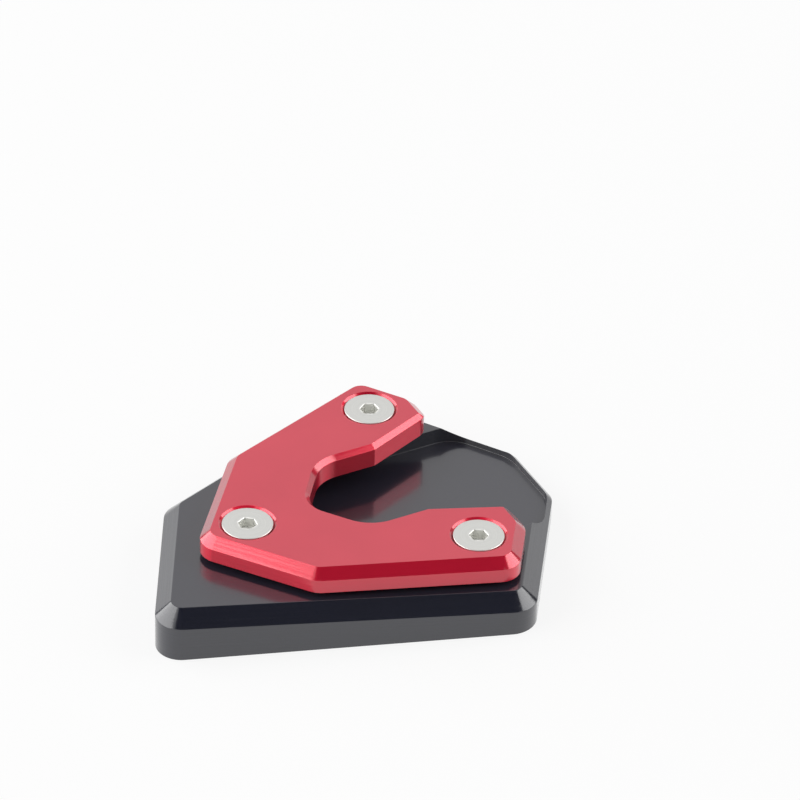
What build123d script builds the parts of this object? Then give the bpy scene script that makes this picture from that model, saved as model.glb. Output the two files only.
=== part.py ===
from build123d import *
import os
from math import cos, radians, sin, tan

# Kickstand foot enlarger: a wedge-shaped base plate with a shallow pocket, a slotted clamp plate above
# the pocket, and the three countersunk screws that pull the two plates together.
# Millimetres. +X runs along the slot's middle line, from its closed nose to its open heel, +Y is on the
# left of that line and +Z is up. The origin is the middle of the underside.
# Plan places are measured on the deck, which is the base plate's top face, from the point midway between
# the two heel screws. Front is the -Y side and back is the +Y side.

# Pocket in the base plate, open towards the slot above it
pocket_width = 44.0
pocket_depth = 4.2
pocket_rim = 1.2
pocket_corner = 9.5
pocket_nose_web = 5.55

# Screws, with a countersunk head and a hex socket that ends in a drill point
screw_diameter = 6.0
head_diameter = 12.4
head_angle = 90.0
head_land = 0.5
head_edge = 0.2
head_sink = 0.2
socket_width = 4.0
socket_depth = 2.6
socket_drill = 3.7
socket_drill_angle = 120.0
socket_turns = [33.0, 31.0, 23.0]
tip_chamfer = 0.7
tip_recess = 1.0
thread_clearance = 0.05
seat_clearance = 0.05
heel_screw_wall = 3.25
nose_screw_reach = 47.5
nose_screw_side = -0.55

# Clamp plate, its outline measured from the screws and from the slot's sides
clamp_gap = 1.3
clamp_thickness = 6.0
clamp_hole = 6.6
clamp_chamfer = 2.45
clamp_face_corner = 3.0
clamp_nose_margin = 13.4
clamp_nose_side = -0.7
clamp_front_shoulder = 5.9
clamp_back_shoulder = 8.2
clamp_front_wall = 12.2
clamp_back_wall = 12.9
clamp_front_heel = 3.8
clamp_back_heel = 3.3
clamp_front_margin = 13.55
clamp_back_margin = 13.15
clamp_end = 12.9
clamp_back_end_setback = 0.55
clamp_back_end_reach = 0.35

# Slot in the clamp plate, from its vee-shaped nose to its flared mouth
slot_side = 0.3
slot_width = 27.2
slot_chamfer = 1.2
slot_chamfer_angle = 45.0
slot_nose_web = 16.2
slot_nose_corner = 6.5
slot_vee_length = 10.2
slot_vee_corner = 9.5
slot_straight = 15.15
slot_mouth_inset = 0.9
slot_mouth_corner = 4.5

# Base plate, its outline measured from the clamp plate's corners and from the pocket's sides
base_height = 10.25
wedge_angle = 2.0
base_chamfer = 3.8
deck_corner = 2.7
deck_end_corner = 1.2
base_toe_margin = 18.8
base_toe_inset = 9.4
base_back_toe = 3.7
base_back_toe_inset = 1.4
base_front_heel = 5.0
base_back_heel = 4.4
base_front_margin = 6.5
base_back_margin = 6.0
base_end_margin = 17.4
base_end_front_inset = 11.0
base_end_back_inset = 13.4

os.makedirs("parts", exist_ok=True)

# Places on the deck that the pieces share
pocket_half = pocket_width / 2
slot_half = slot_width / 2
screw_radius = screw_diameter / 2
heel_screw_side = slot_side + pocket_half + heel_screw_wall + screw_radius
screw_places = [
    (0, heel_screw_side),
    (0, -heel_screw_side),
    (-nose_screw_reach, nose_screw_side),
]
slot_nose = slot_nose_web - nose_screw_reach
slot_vee = slot_nose + slot_vee_length
slot_flare = slot_vee + slot_straight
clamp_nose = -nose_screw_reach - clamp_nose_margin
clamp_front_corner = slot_side - slot_half - clamp_front_wall
clamp_back_corner = slot_side + slot_half + clamp_back_wall
clamp_front_side = -heel_screw_side - clamp_front_margin
clamp_back_side = heel_screw_side + clamp_back_margin
base_end = clamp_end + base_end_margin

# Outline of the base plate, and the deck, which slopes down towards the heel
base_corners = [
    (clamp_nose - base_toe_margin, clamp_front_corner + base_toe_inset),
    (base_front_heel, clamp_front_side - base_front_margin),
    (base_end, slot_side - pocket_half + base_end_front_inset),
    (base_end, slot_side + pocket_half - base_end_back_inset),
    (base_back_heel, clamp_back_side + base_back_margin),
    (clamp_nose + base_back_toe, clamp_back_corner - base_back_toe_inset),
]
base_corner = base_chamfer + deck_corner
base_end_corner = base_chamfer + deck_end_corner
base_radii = [base_corner] * 2 + [base_end_corner] * 2 + [base_corner] * 2
with BuildSketch() as base_outline:
    with BuildLine():
        FilletPolyline(*base_corners, radius=base_radii, close=True)
    make_face()
wedge = radians(wedge_angle)
outline_box = base_outline.sketch.bounding_box()
toe_height = base_height - outline_box.min.X * tan(wedge)
wall_lean = (toe_height + base_chamfer) * sin(wedge) / 2
deck = Plane(
    origin=(wall_lean - outline_box.center().X * cos(wedge), -outline_box.center().Y, base_height),
    x_dir=(cos(wedge), 0, -sin(wedge)),
    z_dir=(sin(wedge), 0, cos(wedge)),
)
deck_axis = Axis(deck.origin, deck.z_dir)
clamp_seat = deck.offset(clamp_gap)
clamp_top = clamp_seat.offset(clamp_thickness)

# Pocket: a nose parallel to the slot's vee, straight sides, and an end inside the rim of the base plate
pocket_nose = pocket_nose_web - nose_screw_reach
pocket_vee = pocket_nose + pocket_half * slot_vee_length / slot_half
with BuildSketch() as rim_line:
    Polygon(*base_corners, align=None)
    offset(amount=-pocket_rim, kind=Kind.INTERSECTION)
with BuildSketch() as pocket_outline:
    with BuildLine():
        Polyline(
            (pocket_nose, slot_side),
            (pocket_vee, slot_side - pocket_half),
            (base_end, slot_side - pocket_half),
            (base_end, slot_side + pocket_half),
            (pocket_vee, slot_side + pocket_half),
            close=True,
        )
    make_face()
    add(rim_line.sketch, mode=Mode.INTERSECT)
    fillet(pocket_outline.vertices(), pocket_corner)

# Base plate, with its walls square to the deck and its underside milled flat
with BuildPart() as base_plate:
    with BuildSketch(deck):
        add(base_outline.sketch)
    extrude(amount=-2 * toe_height)
    chamfer(base_plate.faces().sort_by(deck_axis)[-1].edges(), base_chamfer)
    with BuildSketch(deck):
        add(pocket_outline.sketch)
    extrude(amount=-pocket_depth, mode=Mode.SUBTRACT)
    with Locations(deck):
        with Locations(*screw_places):
            Hole(radius=screw_radius + thread_clearance)
    split(bisect_by=Plane.XY, keep=Keep.TOP)
base_plate.part.label = "base_plate"
export_step(base_plate.part, "parts/base_plate.step")

# Clamp plate: the chamfered outline, then the slot with its smaller chamfer, then the countersunk holes
clamp_front_end = (clamp_end, -heel_screw_side)
clamp_back_end = (clamp_end - clamp_back_end_setback, heel_screw_side + clamp_back_end_reach)
clamp_corners = [
    (clamp_nose, slot_side + clamp_nose_side),
    (clamp_front_shoulder - nose_screw_reach, clamp_front_corner),
    (clamp_front_heel, clamp_front_side),
    clamp_front_end,
    clamp_back_end,
    (clamp_back_heel, clamp_back_side),
    (clamp_back_shoulder - nose_screw_reach, clamp_back_corner),
]
clamp_corner = clamp_chamfer + clamp_face_corner
mouth_half = pocket_half - slot_mouth_inset
end_slope = clamp_back_end_setback / (2 * heel_screw_side + clamp_back_end_reach)
slot_points = [
    (base_end, -heel_screw_side),
    clamp_front_end,
    (clamp_end - end_slope * (heel_screw_side - mouth_half), -mouth_half),
    (slot_flare, slot_side - slot_half),
    (slot_vee, slot_side - slot_half),
    (slot_nose, slot_side),
    (slot_vee, slot_side + slot_half),
    (slot_flare, slot_side + slot_half),
    (clamp_end - end_slope * (heel_screw_side + mouth_half), mouth_half),
    clamp_back_end,
    (base_end, heel_screw_side),
]
slot_front_radii = [0, 0, slot_mouth_corner, 0, slot_vee_corner]
slot_radii = slot_front_radii + [slot_nose_corner] + slot_front_radii[::-1]
with BuildSketch() as slot_outline:
    with BuildLine():
        FilletPolyline(*slot_points, radius=slot_radii, close=True)
    make_face()
head_flare = tan(radians(head_angle / 2))
seat_radius = head_diameter / 2 + (head_sink + head_land) * head_flare + seat_clearance
with BuildPart() as clamp_plate:
    with BuildSketch(clamp_seat):
        with BuildLine():
            FilletPolyline(*clamp_corners, radius=clamp_corner, close=True)
        make_face()
    extrude(amount=clamp_thickness)
    chamfer(clamp_plate.faces().sort_by(deck_axis)[-1].edges(), clamp_chamfer)
    with BuildSketch(clamp_seat):
        add(slot_outline.sketch)
    extrude(amount=clamp_thickness, mode=Mode.SUBTRACT)
    with BuildSketch(clamp_top.offset(-slot_chamfer)):
        add(slot_outline.sketch)
    extrude(amount=slot_chamfer, taper=-slot_chamfer_angle, mode=Mode.SUBTRACT)
    with Locations(clamp_top):
        with Locations(*screw_places):
            CounterSinkHole(
                radius=clamp_hole / 2,
                counter_sink_radius=seat_radius,
                counter_sink_angle=head_angle,
            )
clamp_plate.part.label = "clamp_plate"
export_step(clamp_plate.part, "parts/clamp_plate.step")

# Screws, turned from one profile about each hole's axis, with the hex socket and its drill point cut in
head_top = clamp_gap + clamp_thickness - head_sink
screw_length = head_top + base_height / cos(wedge) - tip_recess
head_radius = head_diameter / 2
cone_end = head_land + (head_radius - screw_radius) / head_flare
screw_profile = [
    (0, 0),
    (head_radius - head_edge, 0),
    (head_radius, -head_edge),
    (head_radius, -head_land),
    (screw_radius, -cone_end),
    (screw_radius, tip_chamfer - screw_length),
    (screw_radius - tip_chamfer, -screw_length),
    (0, -screw_length),
]
drill_radius = socket_drill / 2
drill_end = socket_depth + drill_radius / tan(radians(socket_drill_angle / 2))
with BuildPart() as clamp_screws:
    for place, socket_turn in zip(screw_places, socket_turns):
        head_centre = deck.from_local_coords(Vector(*place, head_top))
        head_plane = Plane(origin=head_centre, x_dir=deck.x_dir, z_dir=deck.z_dir)
        side_plane = Plane(origin=head_centre, x_dir=deck.x_dir, z_dir=-deck.y_dir)
        with BuildSketch(side_plane):
            with BuildLine():
                Polyline(*screw_profile, close=True)
            make_face()
        revolve(axis=Axis(head_centre, deck.z_dir))
        with BuildSketch(head_plane):
            RegularPolygon(radius=socket_width / 2, side_count=6, major_radius=False, rotation=socket_turn)
        extrude(amount=-socket_depth, mode=Mode.SUBTRACT)
        with BuildSketch(side_plane):
            with BuildLine():
                Polyline((0, -socket_depth), (drill_radius, -socket_depth), (0, -drill_end), close=True)
            make_face()
        revolve(axis=Axis(head_centre, deck.z_dir), mode=Mode.SUBTRACT)
clamp_screws.part.label = "clamp_screws"
export_step(clamp_screws.part, "parts/clamp_screws.step")
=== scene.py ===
import math

import bmesh
import bpy
from mathutils import Matrix, Vector


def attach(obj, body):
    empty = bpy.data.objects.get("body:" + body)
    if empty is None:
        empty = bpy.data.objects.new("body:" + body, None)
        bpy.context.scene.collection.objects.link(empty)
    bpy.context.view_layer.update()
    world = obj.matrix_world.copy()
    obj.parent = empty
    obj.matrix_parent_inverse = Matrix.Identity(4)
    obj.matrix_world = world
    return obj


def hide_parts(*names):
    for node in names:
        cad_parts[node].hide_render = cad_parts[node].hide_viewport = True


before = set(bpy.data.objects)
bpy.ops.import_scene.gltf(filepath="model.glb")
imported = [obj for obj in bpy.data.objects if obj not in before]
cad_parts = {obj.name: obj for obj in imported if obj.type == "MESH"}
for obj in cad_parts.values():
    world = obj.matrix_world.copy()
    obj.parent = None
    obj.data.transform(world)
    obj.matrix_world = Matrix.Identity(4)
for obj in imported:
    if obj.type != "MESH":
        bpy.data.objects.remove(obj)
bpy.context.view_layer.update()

MM = 0.001
WHITE = (1, 1, 1, 1)
BLACK = (0, 0, 0, 1)
UPWARD = 0.9

# Camera, fitted to the photograph's straight edges
PHOTO_SIDE = 800
FOCAL_PIXELS = 5204.6
SENSOR_MM = 36.0
CAMERA_PLACE = Vector((-0.4362, -0.8892, 0.7790))
CAMERA_TURN = math.radians(-27.0355)
CAMERA_ELEVATION = math.radians(36.472)
CAMERA_ROLL = math.radians(-0.61)
CAMERA_NEAR = 10 * MM

# Studio. Turns are in degrees to the left of the way the camera faces, and elevations in degrees up.
FLOOR_HALF = 6.0
FLOOR_DROP = 0.02 * MM
FLOOR_COLOUR = (0.95, 0.95, 0.95, 1)
FLOOR_WHITE_SHARE = 0.85
WHITE_LIGHT = 1.0
ROOM_LIGHT = 0.35
SOFTBOX_DISTANCE = 1.3
SOFTBOXES = {
    "softbox_left": {"turn": 88, "elevation": 28, "width": 2.24, "height": 1.25, "radiance": 2.4},
    "softbox_right": {"turn": -86, "elevation": 31, "width": 1.16, "height": 0.8, "radiance": 2.6},
}
FLAG_DISTANCE = 2.2
FLAG_STEPS = 12
FLAGS = {
    "front_flag": {"turns": (145, 250), "elevations": (41, 78)},
    "left_flag": {"turns": (41, 49), "elevations": (1, 30)},
    "right_flag": {"turns": (-59, -48), "elevations": (1, 30)},
}

# Edges of the plates
EDGE_BREAK = 0.13 * MM
EDGE_ANGLE = math.radians(12)
EDGE_SEGMENTS = 2
FACET_WELD = 0.001 * MM
FACET_ANGLE = math.radians(0.5)
NORMAL_WEIGHT = 100

# Finish of the plates, on their level faces and on their milled sides. Their colours carry painted light:
# the level faces are painted lighter than the sides, and on the red plate paler and pinker, a painted sheen.
FINISHES = {
    "base_plate": {
        "name": "black_anodised_skin", "specular": 0.2, "roughness": 0.3,
        # Level faces painted lighter than the sides, painted light.
        "face": {"dye_and_painted_light": (0.022, 0.022, 0.034, 1), "tint": WHITE, "metallic": 0.0, "coat": 0.8},
        "side": {"dye_and_painted_light": (0.009, 0.010, 0.020, 1), "tint": WHITE, "metallic": 0.0, "coat": 1.0}},
    "clamp_plate": {
        "name": "red_anodised_skin", "specular": 0.3, "roughness": 0.41,
        # Level faces painted paler and pinker than the sides, a painted sheen, and the sides a deeper red.
        "face": {"dye_and_painted_light": (0.65, 0.075, 0.107, 1), "tint": (1, 0.3, 0.3, 1), "metallic": 0.25, "coat": 0.3},
        "side": {"dye_and_painted_light": (0.67, 0.008, 0.038, 1), "tint": (0.2, 1, 1, 1), "metallic": 0.8, "coat": 1.0}},
}
SKIN_IOR = 1.6
COAT_IOR = 1.7
COAT_ROUGHNESS = 0.13
# How far a surface's normal points up from the deck, from where it is a side to where it is a level face
SIDE_RISE = 0.75
FACE_RISE = 0.95
SIDE_ANISOTROPY = 0.9
QUARTER_TURN = 0.25
TONE_SCALE = 60.0
TONE_DETAIL = 3.0
TONE_SPREAD = 0.08
SKIN_GRAIN_SCALE = 5200.0
SKIN_GRAIN_DETAIL = 2.0
SKIN_GRAIN_SPREAD = 0.05
LINE_SCALE = (30.0, 30.0, 2200.0)
LINE_DETAIL = 3.0
LINE_HEIGHT = 13.0
SKIN_BUMP = 0.14
BUMP_DISTANCE = 0.02 * MM

# Finish of the screws
STEEL_DARK = (0.58, 0.58, 0.56, 1)
STEEL_LIGHT = (0.8, 0.8, 0.77, 1)
STEEL_ROUGHNESS = (0.26, 0.42)
STEEL_GRAIN_SCALE = 4500.0
STEEL_GRAIN_DETAIL = 3.0
STEEL_BUMP = 0.3
TURNED_SCALE = 1800.0
TURNED_DETAIL = 4.0
TURNED_TONE = 0.5
TURNED_HEIGHT = 4.0
# Inside this radius the socket is painted in the lighter steel colour, a painted light, and made rougher.
FORGED_PAINTED_LIGHT_RADIUS = 2.1 * MM
FORGED_PAINTED_LIGHT_END = 2.5 * MM
FORGED_ROUGHNESS = 0.25

# Countersunk M6 screws with a hex socket, whose places, turns and length come from the CAD screws in
# model.glb
SCREW_STEPS = 96
SCREW_APART = 20 * MM
HEAD_RADIUS = 6.2 * MM
HEAD_ROUND = 0.24 * MM
HEAD_ROUND_STEPS = 5
HEAD_LAND = 0.5 * MM
HEAD_SLOPE = 1.0
SOCKET_HALF = 2.0 * MM
SOCKET_DEPTH = 2.6 * MM
SOCKET_EDGE = 0.12 * MM
SOCKET_REACH = 3.0 * MM
DRILL_RADIUS = 1.85 * MM
DRILL_SLOPE = math.tan(math.radians(30))
SHANK_RADIUS = 3.0 * MM
THREAD_PITCH = 1.0 * MM
THREAD_DEPTH = 0.61 * MM
# The thread's profile, as shares of the pitch and of the depth
THREAD_PHASES = ((0.0, 0.0), (0.125, 0.0), (0.4375, 1.0), (0.6875, 1.0))
THREAD_SPARE_TURNS = 2
THREAD_RUNOUT = 1.2 * MM
TIP_CHAMFER = 0.7 * MM
WELD_DISTANCE = 0.0005 * MM
SHARP_ANGLE = math.radians(28)


def deck_axes():
    """The deck's directions along the slot, across it and up, from the clamp plate's largest upward face."""
    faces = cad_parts["clamp_plate"].data.polygons
    up = max(faces, key=lambda face: face.area * (face.normal.z > UPWARD)).normal
    along = Vector((up.z, 0, -up.x)).normalized()
    return Matrix((along, up.cross(along), up)).transposed()


def add_node(tree, kind, inputs=None, **settings):
    """A shader node with its settings and its inputs, each a value or a socket to link."""
    node = tree.nodes.new(kind)
    for name, value in settings.items():
        setattr(node, name, value)
    for name, value in (inputs or {}).items():
        if isinstance(value, bpy.types.NodeSocket):
            tree.links.new(value, node.inputs[name])
        else:
            node.inputs[name].default_value = value
    return node


def new_material(name):
    """An empty node material and its output's surface socket."""
    material = bpy.data.materials.new(name)
    material.use_nodes = True
    tree = material.node_tree
    tree.nodes.clear()
    surface = tree.nodes.new("ShaderNodeOutputMaterial").inputs["Surface"]
    return material, tree, surface


def larger(tree, first, second):
    """The larger of two values."""
    return add_node(tree, "ShaderNodeMath", {0: first, 1: second}, operation="MAXIMUM").outputs[0]


def scaled_sum(tree, value, factor, other):
    """A value times a factor, plus another value."""
    inputs = {0: value, 1: factor, 2: other}
    return add_node(tree, "ShaderNodeMath", inputs, operation="MULTIPLY_ADD").outputs[0]


def spread(tree, value, low, high, start=0.0, end=1.0):
    """A value mapped from start and end to low and high."""
    inputs = {"Value": value, "From Min": start, "From Max": end, "To Min": low, "To Max": high}
    return add_node(tree, "ShaderNodeMapRange", inputs).outputs[0]


def mix_colours(tree, share, first, second):
    """A colour that goes from the first to the second. The node's sockets 6 and 7 are its two colours."""
    return add_node(tree, "ShaderNodeMix", {0: share, 6: first, 7: second}, data_type="RGBA").outputs[2]


def noise(tree, vector, scale, detail):
    """A noise texture's value."""
    inputs = {"Vector": vector, "Scale": scale, "Detail": detail}
    return add_node(tree, "ShaderNodeTexNoise", inputs).outputs[0]


def bumps(tree, height, strength):
    """A normal bent by a height."""
    inputs = {"Height": height, "Strength": strength, "Distance": BUMP_DISTANCE}
    return add_node(tree, "ShaderNodeBump", inputs).outputs[0]


def studio_rays(tree):
    """1 for the rays that see the studio's white: those of the camera, of reflections and of glass."""
    path = tree.nodes.new("ShaderNodeLightPath").outputs
    seen = larger(tree, path["Is Camera Ray"], path["Is Glossy Ray"])
    return larger(tree, seen, path["Is Transmission Ray"])


def vary(tree, milled, face, side):
    """A number or colour that differs between faces and sides, or the plain value where it doesn't."""
    if face == side:
        return face
    if isinstance(face, tuple):
        return mix_colours(tree, milled, face, side)
    return spread(tree, milled, face, side)


def anodised(name, face, side, specular, roughness):
    """Dyed anodised aluminium: blasted level faces, and sides with mill lines under a clear hard skin. The
    colour carries painted light: the level faces are painted lighter than the sides.
    """
    material, tree, surface = new_material(name)
    axes = deck_axes()
    place = add_node(tree, "ShaderNodeTexCoord").outputs["Object"]
    turn = axes.inverted().to_euler()
    level = add_node(tree, "ShaderNodeMapping", {"Vector": place, "Rotation": turn}).outputs[0]
    tone = spread(tree, noise(tree, level, TONE_SCALE, TONE_DETAIL), 1 - TONE_SPREAD, 1 + TONE_SPREAD)
    grain = noise(tree, level, SKIN_GRAIN_SCALE, SKIN_GRAIN_DETAIL)
    stretched = add_node(tree, "ShaderNodeMapping", {"Vector": level, "Scale": LINE_SCALE}).outputs[0]
    lines = noise(tree, stretched, 1.0, LINE_DETAIL)
    facing = add_node(tree, "ShaderNodeNewGeometry").outputs["Normal"]
    rise = add_node(tree, "ShaderNodeVectorMath", {0: facing, 1: axes.col[2]}, operation="DOT_PRODUCT")
    milled = spread(tree, rise.outputs["Value"], 1.0, 0.0, SIDE_RISE, FACE_RISE)
    # The mix between level faces and sides paints light into the colour: the level faces are painted
    # lighter.
    skin = {key: vary(tree, milled, face[key], side[key]) for key in face}
    shade = add_node(tree, "ShaderNodeVectorMath", {0: skin["dye_and_painted_light"], "Scale": tone}, operation="SCALE")
    normal = bumps(tree, scaled_sum(tree, lines, LINE_HEIGHT, grain), SKIN_BUMP)
    around = add_node(tree, "ShaderNodeTangent", direction_type="RADIAL", axis="Z").outputs[0]
    shader = add_node(tree, "ShaderNodeBsdfPrincipled", {
        "Base Color": shade.outputs[0],
        "Metallic": skin["metallic"],
        "Roughness": spread(tree, grain, roughness - SKIN_GRAIN_SPREAD, roughness + SKIN_GRAIN_SPREAD),
        "IOR": SKIN_IOR,
        "Specular IOR Level": specular,
        "Specular Tint": skin["tint"],
        "Anisotropic": spread(tree, milled, 0.0, SIDE_ANISOTROPY),
        "Anisotropic Rotation": QUARTER_TURN,
        "Tangent": around,
        "Coat Weight": skin["coat"],
        "Coat Roughness": COAT_ROUGHNESS,
        "Coat IOR": COAT_IOR,
        "Normal": normal,
        "Coat Normal": normal,
    })
    tree.links.new(shader.outputs[0], surface)
    return material


def stainless(name):
    """Satin stainless steel with fine rings from turning about each screw's axis, and a duller socket
    painted in the lighter steel colour, a painted light in the recess.
    """
    material, tree, surface = new_material(name)
    place = add_node(tree, "ShaderNodeTexCoord").outputs["Object"]
    grain = noise(tree, place, STEEL_GRAIN_SCALE, STEEL_GRAIN_DETAIL)
    radius = add_node(tree, "ShaderNodeAttribute", attribute_name="turned_radius").outputs["Fac"]
    turned_inputs = {"W": radius, "Scale": TURNED_SCALE, "Detail": TURNED_DETAIL}
    turned = add_node(tree, "ShaderNodeTexNoise", turned_inputs, noise_dimensions="1D").outputs[0]
    # The socket's mask paints light: it lifts the socket's colour to the lighter steel.
    forged_socket_and_painted_light = spread(tree, radius, 1.0, 0.0, FORGED_PAINTED_LIGHT_RADIUS, FORGED_PAINTED_LIGHT_END)
    turned_rings_and_socket_light = scaled_sum(tree, turned, TURNED_TONE, forged_socket_and_painted_light)
    satin = spread(tree, grain, *STEEL_ROUGHNESS)
    shader = add_node(tree, "ShaderNodeBsdfPrincipled", {
        "Base Color": mix_colours(tree, turned_rings_and_socket_light, STEEL_DARK, STEEL_LIGHT),
        "Metallic": 1.0,
        "Roughness": scaled_sum(tree, forged_socket_and_painted_light, FORGED_ROUGHNESS, satin),
        "Normal": bumps(tree, scaled_sum(tree, turned, TURNED_HEIGHT, grain), STEEL_BUMP),
    })
    tree.links.new(shader.outputs[0], surface)
    return material


def dress(node, material):
    """Gives a CAD node its material and breaks its sharp edges."""
    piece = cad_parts[node]
    piece.data.materials.clear()
    piece.data.materials.append(material)
    weld = piece.modifiers.new("weld", "WELD")
    weld.merge_threshold = FACET_WELD
    flat = piece.modifiers.new("flat", "DECIMATE")
    flat.decimate_type = "DISSOLVE"
    flat.angle_limit = FACET_ANGLE
    edge = piece.modifiers.new("edge", "BEVEL")
    edge.width = EDGE_BREAK
    edge.segments = EDGE_SEGMENTS
    edge.limit_method = "ANGLE"
    edge.angle_limit = EDGE_ANGLE
    normals = piece.modifiers.new("normals", "WEIGHTED_NORMAL")
    normals.weight = NORMAL_WEIGHT


def screw_places(axes):
    """The place, with its socket's turn, and the length of each CAD screw."""
    groups = []
    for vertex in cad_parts["clamp_screws"].data.vertices:
        point = axes.transposed() @ vertex.co
        near = [group for group in groups if (group[0] - point).xy.length < SCREW_APART]
        if near:
            near[0].append(point)
        else:
            groups.append([point])
    places = []
    for points in groups:
        top = max(point.z for point in points)
        length = top - min(point.z for point in points)
        middle = [(min(p[k] for p in points) + max(p[k] for p in points)) / 2 for k in (0, 1)]
        centre = Vector((*middle, top))
        rim = [p - centre for p in points if top - p.z < WELD_DISTANCE]
        corner = min(rim, key=lambda arm: arm.length)
        turn = Matrix.Rotation(math.atan2(corner.y, corner.x), 4, "Z")
        places.append((axes.to_4x4() @ Matrix.Translation(centre) @ turn, length))
    return places


def hex_radius(angle):
    """Distance from the axis to the hex socket's wall, with a corner at angle 0."""
    sixth = math.pi / 3
    return SOCKET_HALF / math.cos(angle % sixth - sixth / 2)


def thread_rows(top, bottom):
    """Rows of a thread between two heights, each a function from an angle to a radius and a height."""
    def row(drop, depth):
        def at(angle):
            height = top + THREAD_PITCH - (drop + angle / math.tau) * THREAD_PITCH
            height = min(max(height, bottom), top)
            runout = min((top - height) / THREAD_RUNOUT, 1.0)
            radius = SHANK_RADIUS - THREAD_DEPTH * min(depth, runout)
            return min(radius, SHANK_RADIUS - TIP_CHAMFER + height - bottom), height
        return at
    turns = math.ceil((top - bottom) / THREAD_PITCH) + THREAD_SPARE_TURNS
    return [row(turn + phase, depth) for turn in range(turns) for phase, depth in THREAD_PHASES]


def screw_rows(length):
    """Rows of a screw's surface, from the socket's drill point over the head and down to the tip."""
    def circle(radius, height):
        return lambda angle: (radius, height)

    def hexagon(edge, height):
        return lambda angle: (hex_radius(angle) + edge, height)

    cone_end = HEAD_LAND + (HEAD_RADIUS - SHANK_RADIUS) / HEAD_SLOPE
    rows = [
        circle(0, -SOCKET_DEPTH - DRILL_RADIUS * DRILL_SLOPE),
        circle(DRILL_RADIUS, -SOCKET_DEPTH),
        hexagon(0, -SOCKET_DEPTH),
        hexagon(0, -SOCKET_EDGE),
        hexagon(SOCKET_EDGE, 0),
        circle(SOCKET_REACH, 0),
    ]
    for step in range(HEAD_ROUND_STEPS + 1):
        bend = math.pi / 2 * step / HEAD_ROUND_STEPS
        radius = HEAD_RADIUS - HEAD_ROUND * (1 - math.sin(bend))
        rows.append(circle(radius, -HEAD_ROUND * (1 - math.cos(bend))))
    rows.append(circle(HEAD_RADIUS, -HEAD_LAND))
    rows.extend(thread_rows(-cone_end, -length))
    rows.append(circle(0, -length))
    return rows


def make_screws(material):
    """The three screws as one piece, each turned in code with its socket and thread."""
    body = bmesh.new()
    turned = body.verts.layers.float.new("turned_radius")
    angles = [math.tau * step / SCREW_STEPS for step in range(SCREW_STEPS + 1)]
    for place, length in screw_places(deck_axes()):
        grid = []
        for row in screw_rows(length):
            points = []
            for angle in angles:
                radius, height = row(angle)
                spot = Vector((radius * math.cos(angle), radius * math.sin(angle), height))
                point = body.verts.new(place @ spot)
                point[turned] = radius
                points.append(point)
            grid.append(points)
        for upper, lower in zip(grid, grid[1:]):
            for step in range(SCREW_STEPS):
                body.faces.new((upper[step], upper[step + 1], lower[step + 1], lower[step]))
    bmesh.ops.remove_doubles(body, verts=body.verts, dist=WELD_DISTANCE)
    bmesh.ops.recalc_face_normals(body, faces=body.faces)
    mesh = bpy.data.meshes.new("socket_screws")
    body.to_mesh(mesh)
    body.free()
    mesh.shade_smooth()
    mesh.set_sharp_from_angle(angle=SHARP_ANGLE)
    mesh.materials.append(material)
    screws = bpy.data.objects.new("socket_screws", mesh)
    bpy.context.scene.collection.objects.link(screws)
    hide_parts("clamp_screws")
    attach(screws, "root")


def studio_direction(turn, elevation):
    """Unit vector that points turn degrees left of where the camera faces and elevation degrees up."""
    heading = CAMERA_TURN + math.radians(turn)
    rise = math.radians(elevation)
    level = math.cos(rise)
    return Vector((-math.sin(heading) * level, math.cos(heading) * level, math.sin(rise)))


def add_mesh(name, points, faces, material):
    """A mesh object in the scene that isn't part of the object."""
    mesh = bpy.data.meshes.new(name)
    mesh.from_pydata(points, [], faces)
    mesh.materials.append(material)
    piece = bpy.data.objects.new(name, mesh)
    bpy.context.scene.collection.objects.link(piece)
    return piece


def make_floor():
    """Pale floor, whitened where the camera and reflections see it, that keeps its shadow."""
    material, tree, surface = new_material("floor_paper")
    paper = add_node(tree, "ShaderNodeBsdfDiffuse", {"Color": FLOOR_COLOUR}).outputs[0]
    white = add_node(tree, "ShaderNodeEmission", {"Strength": WHITE_LIGHT}).outputs[0]
    share = spread(tree, studio_rays(tree), 0.0, FLOOR_WHITE_SHARE)
    mix = add_node(tree, "ShaderNodeMixShader", {0: share, 1: paper, 2: white})
    tree.links.new(mix.outputs[0], surface)
    signs = ((-1, -1), (1, -1), (1, 1), (-1, 1))
    corners = [(x * FLOOR_HALF, y * FLOOR_HALF, -FLOOR_DROP) for x, y in signs]
    add_mesh("floor", corners, [(0, 1, 2, 3)], material)


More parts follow.
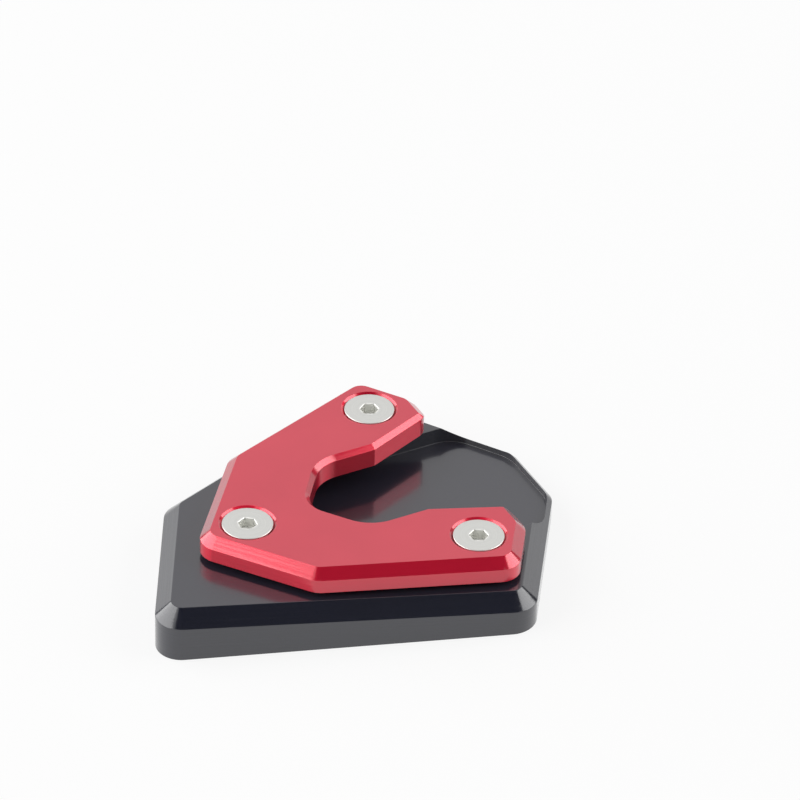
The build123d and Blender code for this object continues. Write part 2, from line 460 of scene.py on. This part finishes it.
def make_flags():
    """Black cards, seen only in reflections, which darken the chamfers that face them."""
    material, tree, surface = new_material("black_card")
    black = add_node(tree, "ShaderNodeBsdfDiffuse", {"Color": BLACK}).outputs[0]
    tree.links.new(black, surface)
    for name, flag in FLAGS.items():
        (first_turn, last_turn), (low, high) = flag["turns"], flag["elevations"]
        points = []
        for row in range(FLAG_STEPS + 1):
            for column in range(FLAG_STEPS + 1):
                turn = first_turn + (last_turn - first_turn) * column / FLAG_STEPS
                elevation = low + (high - low) * row / FLAG_STEPS
                points.append(studio_direction(turn, elevation) * FLAG_DISTANCE)
        faces = []
        for row in range(FLAG_STEPS):
            for column in range(FLAG_STEPS):
                first = row * (FLAG_STEPS + 1) + column
                faces.append((first, first + 1, first + FLAG_STEPS + 2, first + FLAG_STEPS + 1))
        card = add_mesh(name, points, faces, material)
        card.visible_camera = False
        card.visible_diffuse = False
        card.visible_shadow = False


def make_lights():
    """World that looks white and lights evenly, and a softbox on each side."""
    world = bpy.data.worlds.new("studio")
    world.use_nodes = True
    tree = world.node_tree
    tree.nodes.clear()
    strength = spread(tree, studio_rays(tree), ROOM_LIGHT, WHITE_LIGHT)
    sky = add_node(tree, "ShaderNodeBackground", {"Color": WHITE, "Strength": strength}).outputs[0]
    tree.links.new(sky, tree.nodes.new("ShaderNodeOutputWorld").inputs["Surface"])
    bpy.context.scene.world = world
    for name, box in SOFTBOXES.items():
        lamp = bpy.data.lights.new(name, "AREA")
        lamp.shape = "RECTANGLE"
        lamp.size = box["width"]
        lamp.size_y = box["height"]
        lamp.energy = box["radiance"] * math.pi * box["width"] * box["height"]
        towards = studio_direction(box["turn"], box["elevation"])
        holder = bpy.data.objects.new(name, lamp)
        holder.location = towards * SOFTBOX_DISTANCE
        holder.rotation_euler = towards.to_track_quat("Z", "Y").to_euler()
        holder.visible_camera = False
        bpy.context.scene.collection.objects.link(holder)


def make_camera():
    """Camera at the photograph's viewing angle."""
    camera = bpy.data.objects.new("camera", bpy.data.cameras.new("camera"))
    camera.data.sensor_width = SENSOR_MM
    camera.data.lens = FOCAL_PIXELS * SENSOR_MM / PHOTO_SIDE
    camera.data.clip_start = CAMERA_NEAR
    turn = Matrix.Rotation(CAMERA_TURN, 4, "Z")
    tilt = Matrix.Rotation(math.pi / 2 - CAMERA_ELEVATION, 4, "X")
    roll = Matrix.Rotation(CAMERA_ROLL, 4, "Z")
    camera.matrix_world = Matrix.Translation(CAMERA_PLACE) @ turn @ tilt @ roll
    bpy.context.scene.collection.objects.link(camera)
    bpy.context.scene.camera = camera


make_camera()
make_floor()
make_flags()
make_lights()
for plate, finish in FINISHES.items():
    dress(plate, anodised(**finish))
make_screws(stainless("stainless_satin"))

bpy.context.scene.view_settings.view_transform = "Standard"
